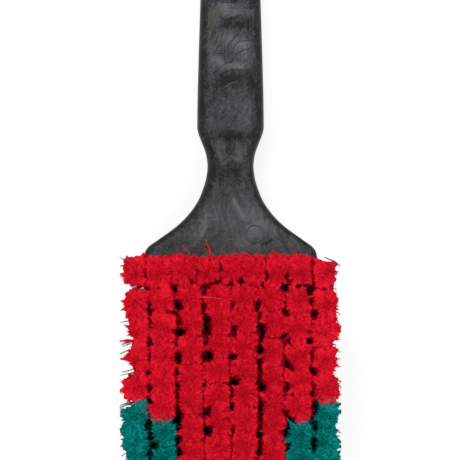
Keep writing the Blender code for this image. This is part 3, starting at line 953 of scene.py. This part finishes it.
def tuft_reaches(tip, half, outward, meets):
    """For each direction: how far a tuft spreads, what stops its ends, where the field ends, and how
    far the tuft would spread without the gaps."""
    free = half * FILL_SHARES * (1 + EDGE_FREE_SHARE * (ways_round * outward > 0))
    free[:, 1] *= np.where((meets == "red") & (ways_round[:, 1] > 0), MEETING_SHARE, 1.0)
    power = np.where((meets == "green") & (ways_round[:, 1] < 0), MEETING_POWER, FILL_POWER)
    lumps = np.abs(chance.normal(size=LUMPS))
    lumps = np.interp(turns_round, np.arange(LUMPS) * 2 * np.pi / LUMPS, lumps, period=2 * np.pi)
    reach = ((np.abs(ways_round) / free) ** power[:, None]).sum(axis=1) ** (-1 / power)
    knots = np.arange(TEETH) * 2 * np.pi / TEETH
    rough = np.interp(turns_round, knots, chance.normal(size=TEETH), period=2 * np.pi)
    reach *= 1 + LUMP_SHARE * lumps + ROUGH_SHARE * rough
    start = edge_places - tip
    turn = ways_round[:, :1] * edge_steps[:, 1] - ways_round[:, 1:] * edge_steps[:, 0]
    turn[turn == 0] = TINY
    far = (start[:, 0] * edge_steps[:, 1] - start[:, 1] * edge_steps[:, 0]) / turn
    along = (start[:, 0] * ways_round[:, 1:] - start[:, 1] * ways_round[:, :1]) / turn
    far[(far < 0) | (along < 0) | (along > 1)] = FAR_OFF
    edge = np.minimum(far.min(axis=1), 2 * reach)
    if outward[1] < 0:
        toe = reach * np.maximum(0, -ways_round[:, 1])
        reach = reach - toe * (EDGE_FREE_SHARE / 2 - TOE_FRINGE_SHARE * chance.normal(size=DIRECTIONS) / 2)
        edge = np.where(toe > 0, np.minimum(edge, reach), edge)
    off = np.einsum("gij,gj->gi", gap_frames, tip - gap_places)
    way = np.einsum("gij,dj->dgi", gap_frames, ways_round)
    square = (way**2).sum(axis=2)
    slope = (way * off).sum(axis=2)
    outside = (off**2).sum(axis=1) - 1
    root = slope**2 - square * outside
    hit = (-slope - np.sqrt(np.maximum(root, 0))) / square
    hit[(root < 0) | (hit < 0) | (outside < 0)] = FAR_OFF
    teeth = np.interp(turns_round, knots, chance.random(TEETH) ** TOOTH_POWER, period=2 * np.pi)
    sideways = TOOTH_HEEL_SHARE + (1 - TOOTH_HEEL_SHARE) * np.abs(ways_round[:, 0])
    edge = edge + TOOTH * teeth * sideways
    rough = np.interp(turns_round, knots, chance.normal(size=TEETH), period=2 * np.pi)
    gap = hit.min(axis=1) + GAP_ROUGH * rough
    stop = np.maximum(np.minimum(edge, gap), LEAST_REACH_SHARE * half.min())
    return np.minimum(reach, stop), stop, edge, np.minimum(reach, edge)


def reach_towards(reaches, off):
    return np.interp(np.arctan2(off[..., 1], off[..., 0]), turns_round, reaches, period=2 * np.pi)


# Each tube has a cell of its own in the map for baking: its wall between its two round ends
CELL_MARGIN = 0.06
WALL_START = 0.12
END_MIDDLE = 0.05
END_WIDE = 0.05
END_HIGH = 0.04


class Strands:
    """Tubes gathered for one piece: rings of points, with a tone for each tube and a share along it."""

    def __init__(self):
        self.points = []
        self.faces = []
        self.maps = []
        self.values = {"tone": [], "share": []}
        self.count = 0
        self.tubes = 0

    def add(self, rings, tones, shares):
        """rings is tubes x rings x sides x 3; tones and shares are tubes x rings x sides."""
        tubes, levels, sides = rings.shape[:3]
        base = self.count + (np.arange(tubes) * levels * sides)[:, None, None]
        level = np.arange(levels - 1)[None, :, None]
        side = np.arange(sides)[None, None, :]
        here = base + level * sides + side
        after = base + level * sides + (side + 1) % sides
        walls = np.stack([here, after, after + sides, here + sides], axis=3)
        shape = here.shape
        across = np.stack([np.broadcast_to(side + i, shape) for i in (0, 1, 1, 0)], axis=3) / sides
        up = np.stack([np.broadcast_to(level + j, shape) for j in (0, 0, 1, 1)], axis=3) / (levels - 1)
        number = self.tubes + np.arange(tubes)
        up = WALL_START + (1 - 2 * WALL_START) * up
        numbers = np.repeat(number, (levels - 1) * sides)
        self.save(walls.reshape(-1, 4), across.reshape(-1, 4), up.reshape(-1, 4), numbers)
        turn = 2 * np.pi * np.arange(sides) / sides
        first = base[:, 0]
        last = first + (levels - 1) * sides
        for ends, order, middle in ((first, -1, END_MIDDLE), (last, 1, 1 - END_MIDDLE)):
            caps = (ends + np.arange(sides))[:, ::order]
            ring = np.broadcast_to(turn[::order], caps.shape)
            self.save(caps, 0.5 + END_WIDE * np.cos(ring), middle + END_HIGH * np.sin(ring), number)
        self.points.append(rings.reshape(-1, 3))
        self.values["tone"].append(np.broadcast_to(tones, rings.shape[:3]).ravel())
        self.values["share"].append(np.broadcast_to(shares, rings.shape[:3]).ravel())
        self.count += tubes * levels * sides
        self.tubes += tubes

    def save(self, faces, across, up, number):
        self.faces.append(faces)
        self.maps.append((across, up, number))

    def mesh(self, name):
        made = bpy.data.meshes.new(name)
        points = np.concatenate(self.points).astype(np.float32)
        loops = np.concatenate([faces.ravel() for faces in self.faces]).astype(np.int32)
        counts = np.concatenate([np.full(len(faces), faces.shape[1]) for faces in self.faces])
        made.vertices.add(len(points))
        made.vertices.foreach_set("co", points.ravel())
        made.loops.add(len(loops))
        made.loops.foreach_set("vertex_index", loops)
        made.polygons.add(len(counts))
        made.polygons.foreach_set("loop_start", (np.cumsum(counts) - counts).astype(np.int32))
        made.update(calc_edges=True)
        made.shade_smooth()
        for label, values in self.values.items():
            layer = made.attributes.new(label, "FLOAT", "POINT")
            layer.data.foreach_set("value", np.concatenate(values).astype(np.float32))
        cells = math.ceil(math.sqrt(self.tubes))
        spots = []
        for across, up, number in self.maps:
            cell = np.stack([number % cells, number // cells], axis=1)[:, None]
            spot = cell + CELL_MARGIN + (1 - 2 * CELL_MARGIN) * np.stack([across, up], axis=2)
            spots.append(spot.reshape(-1, 2))
        spots = np.concatenate(spots) / cells
        made.uv_layers.new(name="OFBake").data.foreach_set("uv", spots.astype(np.float32).ravel())
        return made


def tubes_round(paths, radii, sides=SIDES):
    """Rings about each point of the paths, none of which leaves the brush's own width."""
    paths = paths * 1.0
    paths[..., 0] = paths[..., 0].clip(-widest, widest)
    turn = 2 * np.pi * (np.arange(sides) / sides + chance.random(len(paths))[:, None])
    circle = np.stack([np.cos(turn), np.sin(turn), np.zeros_like(turn)], axis=2)
    return paths[:, :, None] + radii[:, :, None, None] * circle[:, None]


def bowed(share):
    """How far towards its tip's place a filament is, at this share of its length."""
    return (1 - BOW) * share + BOW * share**2


def varied(share, shape):
    """Random numbers about 1, up to this share more or less."""
    return 1 - share + 2 * share * chance.random(shape)


def add_heart(strands, root, tip, reaches, trim):
    """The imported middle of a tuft, whose filaments lie too close to part: fluted sides, rough top."""
    turn = 2 * np.pi * np.arange(HEART_SIDES) / HEART_SIDES
    way = np.stack([np.cos(turn), np.sin(turn)], axis=1)
    reach = reach_towards(reaches, way) * HEART_SHARE
    low = HEAD_THICKNESS - ROOT_DEPTH
    high = trim - HEART_DROP
    steps = [(share, 1.0) for share in HEART_RISES] + [(1.0, width) for width in HEART_DOME]
    rings = []
    shares = []
    for share, width in steps:
        bow = bowed(share)
        flutes = np.cos(turn * HEART_SIDES / 2) + chance.normal(size=HEART_SIDES) * share
        spread = TUFT_HOLE / 2 * HEART_ROOT_SHARE * (1 - bow) + reach * bow
        spread = spread * width * (1 + HEART_FLUTE * flutes)
        level = root * (1 - bow) + tip * bow + way * spread[:, None]
        level[:, 0] = level[:, 0].clip(-widest, widest)
        rise = low + (high - low) * share + (DOME * (1 - width**2) if share == 1.0 else 0.0)
        rough = chance.normal(size=HEART_SIDES) * HEART_ROUGH * (share == 1.0 and width > HEART_DOME[-1])
        rings.append(np.concatenate([level, (rise + rough)[:, None]], axis=1))
        shares.append(share * (high - low) / (trim - low))
    rings = np.array(rings)[None]
    tones = HEART_TONES[0] + HEART_TONES[1] * chance.random(rings.shape[:3])
    strands.add(rings, tones, np.array(shares)[None, :, None])


def add_tuft(strands, root, tip, half, outward, meets):
    """One tuft: filaments that rise from the hole, bow apart, and split into fine ends at the trim."""
    number = np.arange(FILAMENTS)
    radius = np.sqrt((number + 0.5) / FILAMENTS)
    turn = number * GOLDEN_TURN + chance.random() * ANY_TURN
    way = np.stack([np.cos(turn), np.sin(turn)], axis=1)
    tip = tip + chance.normal(size=2) * TUFT_WANDER
    reaches, stops, edge, whole = tuft_reaches(tip, half, outward, meets)
    deep = chance.random(FILAMENTS) < np.interp(abs(tip[0]), *DEEP_SHARES)
    trim = TRIM_HEIGHT - TUFT_TRIM * chance.random() * (meets == "")
    trim -= MEETING_DROP * (meets == "red")
    start = root + way * radius[:, None] * (TUFT_HOLE / 2 - FILAMENT_WIDTH / 2)
    spread = np.where(deep, reach_towards(whole, way), reach_towards(reaches, way))
    end = tip + way * (radius * spread)[:, None]
    end += chance.normal(size=(FILAMENTS, 2)) * PLACE_ERROR
    height = trim - DOME * radius**3 - TRIM_ERROR * chance.random(FILAMENTS) ** 2
    height -= DEEP_DROP * deep * chance.uniform(*DEEP_SPAN, FILAMENTS)
    low = HEAD_THICKNESS - ROOT_DEPTH
    short = bowed((height - low) / (trim - low))[:, None]
    end = np.where(deep[:, None], start * (1 - short) + end * short, end)
    split = 1 - SPLIT_LENGTH / (height - low) * varied(SPLIT_VARY, FILAMENTS)
    phase = chance.random((FILAMENTS, 2)) * ANY_TURN
    swing = WAVE * chance.random((FILAMENTS, 1))
    tones = chance.random(FILAMENTS)

    def at(share, owner):
        """The places at these shares along the filaments of these numbers."""
        rise = low + (height - low)[owner, None] * share
        share = share[..., None]
        bow = bowed(share)
        level = start[owner, None] * (1 - bow) + end[owner, None] * bow
        level = level + swing[owner, None] * np.sin(phase[owner, None] + share * WAVE_TURN) * share
        return np.concatenate([level, rise[..., None]], axis=2)

    shares = split[:, None] * FILAMENT_SHARES
    width = FILAMENT_WIDTH / 2 * varied(FILAMENT_VARY, (FILAMENTS, 1))
    thread = tubes_round(at(shares, number), width * FILAMENT_TAPER)
    strands.add(thread, tones[:, None, None], shares[..., None])
    add_heart(strands, root, tip, reaches, trim)

    owner = np.repeat(number, SPLIT_ENDS)
    shares = split[owner, None] + (1 - split)[owner, None] * SPLIT_SHARES
    paths = at(shares, owner)
    lean = chance.normal(size=(len(owner), 1, 2)) * SPLIT_SPREAD
    curl = chance.normal(size=(len(owner), 1, 2)) * TIP_CURL
    paths[..., :2] += lean * SPLIT_BEND[:, None] + curl * SPLIT_CURL[:, None]
    sink = np.linalg.norm(curl[:, 0], axis=1) * CURL_SINK
    paths[:, 2, 2] -= sink + TIP_DROP * chance.random(len(owner)) ** 2
    bow = bowed(shares)
    middle = root * (1 - bow[..., None]) + tip * bow[..., None]
    off = paths[..., :2] - middle
    crosses = (chance.random((len(owner), 1)) < CROSSING_SHARE) | deep[owner, None]
    stop = reach_towards(stops, off)
    tip_off = np.linalg.norm(off[:, 2], axis=1)
    sunk = crosses[:, 0] & (tip_off > stop[:, 2])
    own_reach = reach_towards(reaches, off[:, 2])
    border = np.clip((tip_off / own_reach - BORDER_START) / (1 - BORDER_START), 0, 1)
    border = border * (own_reach < BORDER_INSIDE * reach_towards(edge, off[:, 2]))
    border = border * np.sqrt(chance.random(len(owner)))
    drop = CROSSING_DROP * chance.random(len(owner)) * sunk + BORDER_DROP * border
    paths[..., 2] -= drop[:, None] * SPLIT_BEND
    most = np.where(crosses, reach_towards(edge, off), stop)
    most = most * bow + TUFT_HOLE / 2 * (1 - bow)
    fuzz = FUZZ_REACH * chance.random((len(owner), 1)) * (chance.random((len(owner), 1)) < FUZZ_SHARE)
    most += fuzz * np.where((outward[1] > 0) & (off[..., 1] > 0), FUZZ_HEEL_SHARE, 1.0)
    far = np.linalg.norm(off, axis=2) + TINY
    drawn = np.where(far > most, most / far * chance.uniform(*DRAWN_SPAN, far.shape), 1.0)
    paths[..., :2] = middle + off * drawn[..., None]
    fine = SPLIT_WIDTH / 2 * varied(SPLIT_VARY, (len(owner), 1))
    own = tones[owner] * (1 - OWN_TONE_SHARE) + chance.random(len(owner)) * OWN_TONE_SHARE
    # Ends near a tuft's border are painted darker in tone and share: painted shade.
    own *= 1 - BORDER_SHADE * border
    lit = shares - BORDER_SHARE_SHADE * border[:, None]
    strands.add(tubes_round(paths, fine * SPLIT_TAPER), own[:, None, None], lit[..., None])


# The finish of the filaments: patches of tone a few millimetres wide, and a painted shade of the dark
# colour in pits between the ends and towards the roots
PATCH_SCALE = 160.0
PIT_SHADE_SCALE = 1300.0
SHADE_SHARE = 0.35
MOST_SHADE = 0.9


def bristle(name, dark, bright, pale, gloss=0.08, pit_shade_strength=0.40):
    """Split filament: each strand has its own tone and a painted shade at its root and between its ends; a
    few have pale tips.
    """
    finish = Finish(name)
    tone = finish.attribute("tone", "Fac")
    share = finish.attribute("share", "Fac")
    place = finish.node("ShaderNodeTexCoord", {}, {}, "Object")
    patch = finish.noise(place, PATCH_SCALE, 3.0)
    lit = finish.ramp(0.65 * tone + 0.45 * patch, (0.22, 0.0), (0.80, 1.0))
    colour = finish.mix(lit, (*dark, 1.0), (*bright, 1.0))
    few = finish.ramp(tone, (0.90, 0.0), (0.98, 1.0))
    colour = finish.mix(0.5 * few * share, colour, (*pale, 1.0))
    # Painted shade towards the roots and in pits between the ends.
    low = finish.ramp(share, (0.0, 0.66), (0.84, 0.34), (0.98, 0.0))
    pit_shade = finish.ramp(finish.noise(place, PIT_SHADE_SCALE, 3.0, 0.6), (0.38, 1.0), (0.49, 0.0))
    shaded = (low + pit_shade_strength * pit_shade).sum("MINIMUM", MOST_SHADE)
    colour = finish.mix(shaded, colour, (*(part * SHADE_SHARE for part in dark), 1.0))
    finish.surface(Base_Color=colour, Roughness=0.66 - 0.12 * tone, Specular_IOR_Level=gloss)
    return finish


RED = ((0.68, 0.004, 0.020), (0.91, 0.008, 0.040), (1.0, 0.14, 0.12))
GREEN = ((0.0, 0.14, 0.128), (0.0, 0.37, 0.34), (0.01, 0.56, 0.50))
FINISHES = {
    "red": bristle("red_filament", *RED),
    "green": bristle("green_filament", *GREEN, gloss=0.04, pit_shade_strength=0.72),
}


def green_columns(row, count):
    """How many tufts at each side of this row are green."""
    missing = (COLUMNS - count) // 2 if row == ROWS else 0
    return max(0, min(GREEN_COLUMNS, row - FIRST_GREEN_ROW + 1) - missing)


def row_border(line, x):
    """How far along the head the border after this many rows lies, at this distance across it."""
    inner = COLUMN_PITCH / 2
    outer = (COLUMNS - 1) / 2 * COLUMN_PITCH
    off = max(0.0, abs(x) - inner) / (outer - inner)
    return (ROWS / 2 - line) * ROW_PITCH - ROW_BOW * off * math.sin(math.pi * line / ROWS)


def add_row(row):
    """One row's tufts, as one piece for each run of one colour."""
    count = {1: HEEL_COLUMNS, ROWS: TOE_COLUMNS}.get(row, COLUMNS)
    pitch = COLUMN_PITCH * (COLUMNS - 1) / (HEEL_COLUMNS - 1) if row == 1 else COLUMN_PITCH
    side = green_columns(row, count)
    before, after = (green_columns(row + step, COLUMNS) for step in (-1, 1))
    runs = [("green_left", 0, side), ("red", side, count - side), ("green_right", count - side, count)]
    for ending, first, last in runs:
        if first == last:
            continue
        strands = Strands()
        for column in range(first, last):
            x = (column - (count - 1) / 2) * pitch
            heel, toe = row_border(row - 1, x), row_border(row, x)
            root = np.array([x, (heel + toe) / 2])
            tip = root * (SPLAY_ACROSS_SHARE, SPLAY_ALONG_SHARE)
            half = np.array([pitch * SPLAY_ACROSS_SHARE, (heel - toe) * SPLAY_ALONG_SHARE]) / 2
            half[0] *= HEEL_FILL_SHARE if row == 1 else 1.0
            outward = np.array([(column == count - 1) - (column == 0), (row == 1) - (row == ROWS)])
            from_side = min(column, count - 1 - column)
            meets = "green" if side <= from_side < after else "red" if before <= from_side < side else ""
            add_tuft(strands, root, tip, half, outward, meets)
        colour = ending.split("_")[0]
        name = f"tufts_row_{row:02d}_{ending}"
        piece = add_piece(name, strands.mesh(name), FINISHES[colour], f"{colour}_bristle")
        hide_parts(f"tuft_row_{row:02d}_{ending}")


for row in range(1, ROWS + 1):
    add_row(row)


# Loose filaments: single ones that worked out of their tufts and stand clear of the trimmed edge or
# lie bent on top of it, as pixels of the photograph from where each leaves its tuft. The thin ones
# against the light are given darker colours than the rest, a painted shade.
LOOSE = {
    "red_at_heel": (
        ((191, 262), (190, 256), (189.6, 251.8), (186, 248), (180.8, 244.9)),
        ((190, 262), (189.2, 256), (188.9, 252), (185.2, 248.4), (181.6, 246.2)),
        ((212, 262), (211, 256), (210.6, 253.4), (209, 248), (207.2, 244.9), (205.7, 239.6)),
        ((211, 262), (210.2, 256), (209.8, 253), (208.4, 248), (206.6, 244), (206.2, 240.4)),
        ((213, 262), (211.8, 256), (211.2, 252), (209.4, 247.4), (207.6, 243.4), (205.2, 241.4)),
        ((211, 255), (209, 251), (205.3, 248.8), (199.2, 246.5)),
        ((211, 255.5), (208.6, 251.6), (204.8, 249.4), (200.6, 247.6)),
        ((236, 258), (235.5, 253), (233, 250.5)),
        ((278, 257), (276, 252), (272, 249.5)),
    ),
    "red": (
        ((129, 263), (125, 265), (119.2, 265.5)),
        ((130, 321), (126, 322), (120.7, 322.6)),
        ((138, 341.5), (131, 341.2), (126, 341.8), (121.5, 344.2)),
        ((137, 342.5), (130, 342.5), (126, 343.4), (121.5, 345.3)),
        ((135, 347), (130.3, 349.6), (125, 351.5), (119.2, 354.5)),
        ((136, 344.5), (129, 344), (122.5, 347)),
        ((137, 367), (131.4, 369.5), (126, 371.5), (121.1, 372.9)),
        ((139, 371), (133.7, 372.9), (127, 374), (120.7, 375.6)),
        ((138, 372), (133, 375), (126, 378.5), (119.2, 382.1)),
        ((129, 385), (124, 389), (119.2, 392.8)),
        ((325, 257), (329.5, 259.7), (336, 262), (340, 265.7), (339.8, 267.7)),
        ((329, 287), (333.8, 288.4), (337.4, 289.5)),
        ((333, 311), (337.8, 313.1), (341, 314.7)),
        ((328, 342), (332.7, 344), (336.6, 345.6)),
        ((334, 348), (337, 350.5), (340.5, 352.5)),
        ((335, 378), (339.8, 381.1), (342, 383)),
        ((333, 379), (338.6, 384.7), (342, 389)),
        ((334, 386), (338, 391), (341.8, 396.4)),
        ((136, 269), (131, 266), (124, 259.5), (119.5, 256.8)),
    ),
    "red_spikes": (
        ((139, 341), (134, 340), (127, 339.8), (119.2, 341.2)),
        ((139, 340), (132, 340), (125, 340.3), (119, 342.3)),
        ((138, 341), (131, 341), (124, 341.4), (119.4, 340.6)),
        ((334, 326), (338, 327), (342, 327.9)),
    ),
    "red_on_top": (
        ((196, 298), (203, 296.8), (209, 298), (221, 299)),
        ((243, 396), (250, 394), (256, 398), (257, 404)),
    ),
    "green": (
        ((131, 404), (126, 403.4), (119.2, 406.8)),
        ((132, 405), (126.5, 404.6), (119.2, 408.2)),
        ((131, 409), (126.9, 409), (119.5, 412.7)),
        ((127, 432), (123, 434), (119.2, 435.5)),
        ((337, 430), (339, 432), (341.8, 433.3)),
        ((333, 458), (337, 459), (342, 459.6)),
        ((336, 441), (339.5, 442), (342, 443.5)),
        ((130, 452), (125, 453.5), (121, 456.5)),
    ),
}
LOOSE_WIDTH = 0.00028
LOOSE_TAPER = ((0, 0.6, 1), (1, 0.9, 0.45))
LOOSE_SIDES = 5
LOOSE_POINTS = 14
LOOSE_PARTING = 0.00022
LOOSE_FALL = 0.0030
LOOSE_SHARE = 0.97
PALEST = 1.0
LOOSE_STRANDS = {"red_at_heel": 1, "red": 3, "red_spikes": 3, "red_on_top": 1, "green": 3}
SHADED_LOOSE_RED = ((0.14, 0.004, 0.008), (0.40, 0.008, 0.018), (0.6, 0.10, 0.10))
SHADED_HEEL_RED = ((0.28, 0.006, 0.012), (0.55, 0.016, 0.030), (0.8, 0.12, 0.12))
SHADED_LOOSE_GREEN = ((0.0, 0.06, 0.055), (0.0, 0.17, 0.155), (0.03, 0.3, 0.27))
LOOSE_FINISHES = {
    "red": bristle("shaded_red_loose_filament", *SHADED_LOOSE_RED),
    "red_at_heel": bristle("shaded_red_heel_filament", *SHADED_HEEL_RED),
    "red_spikes": FINISHES["red"],
    "red_on_top": FINISHES["red"],
    "green": bristle("shaded_green_loose_filament", *SHADED_LOOSE_GREEN),
}


def add_loose(group):
    """One group's strands, each a rounded line a little beside the marked one, level with the trim."""
    paths = []
    for pixels in [pixels for pixels in LOOSE[group] for _ in range(LOOSE_STRANDS[group])]:
        spots = np.array([on_tips(*pixel) for pixel in pixels])
        spots += chance.normal(size=spots.shape) * LOOSE_PARTING
        way = np.concatenate([[0], np.cumsum(np.linalg.norm(np.diff(spots, axis=0), axis=1))])
        along_way = np.linspace(0, way[-1], LOOSE_POINTS)
        level = np.stack([np.interp(along_way, way, spots[:, i]) for i in (0, 1)], axis=1)
        for _ in range(2):
            level[1:-1] = (level[:-2] + 2 * level[1:-1] + level[2:]) / 4
        share = np.linspace(0, 1, LOOSE_POINTS)
        height = TRIM_HEIGHT - LOOSE_WIDTH - LOOSE_FALL * (chance.random() * share + (1 - share) ** 2)
        paths.append(np.column_stack([level, height]))
    paths = np.array(paths)
    strands = Strands()
    radii = LOOSE_WIDTH / 2 * np.interp(np.linspace(0, 1, LOOSE_POINTS), *LOOSE_TAPER)
    tones = PALEST if group == "red_on_top" else chance.random((len(paths), 1, 1))
    strands.add(tubes_round(paths, radii[None], LOOSE_SIDES), tones, LOOSE_SHARE)
    name = f"loose_filaments_{group}"
    colour = group.split("_")[0]
    add_piece(name, strands.mesh(name), LOOSE_FINISHES[group], f"{colour}_bristle")


for group in LOOSE:
    add_loose(group)


boxes = {"cad": cad_box, "visual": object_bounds()}
{name: [list(corner) for corner in box] for name, box in boxes.items()}
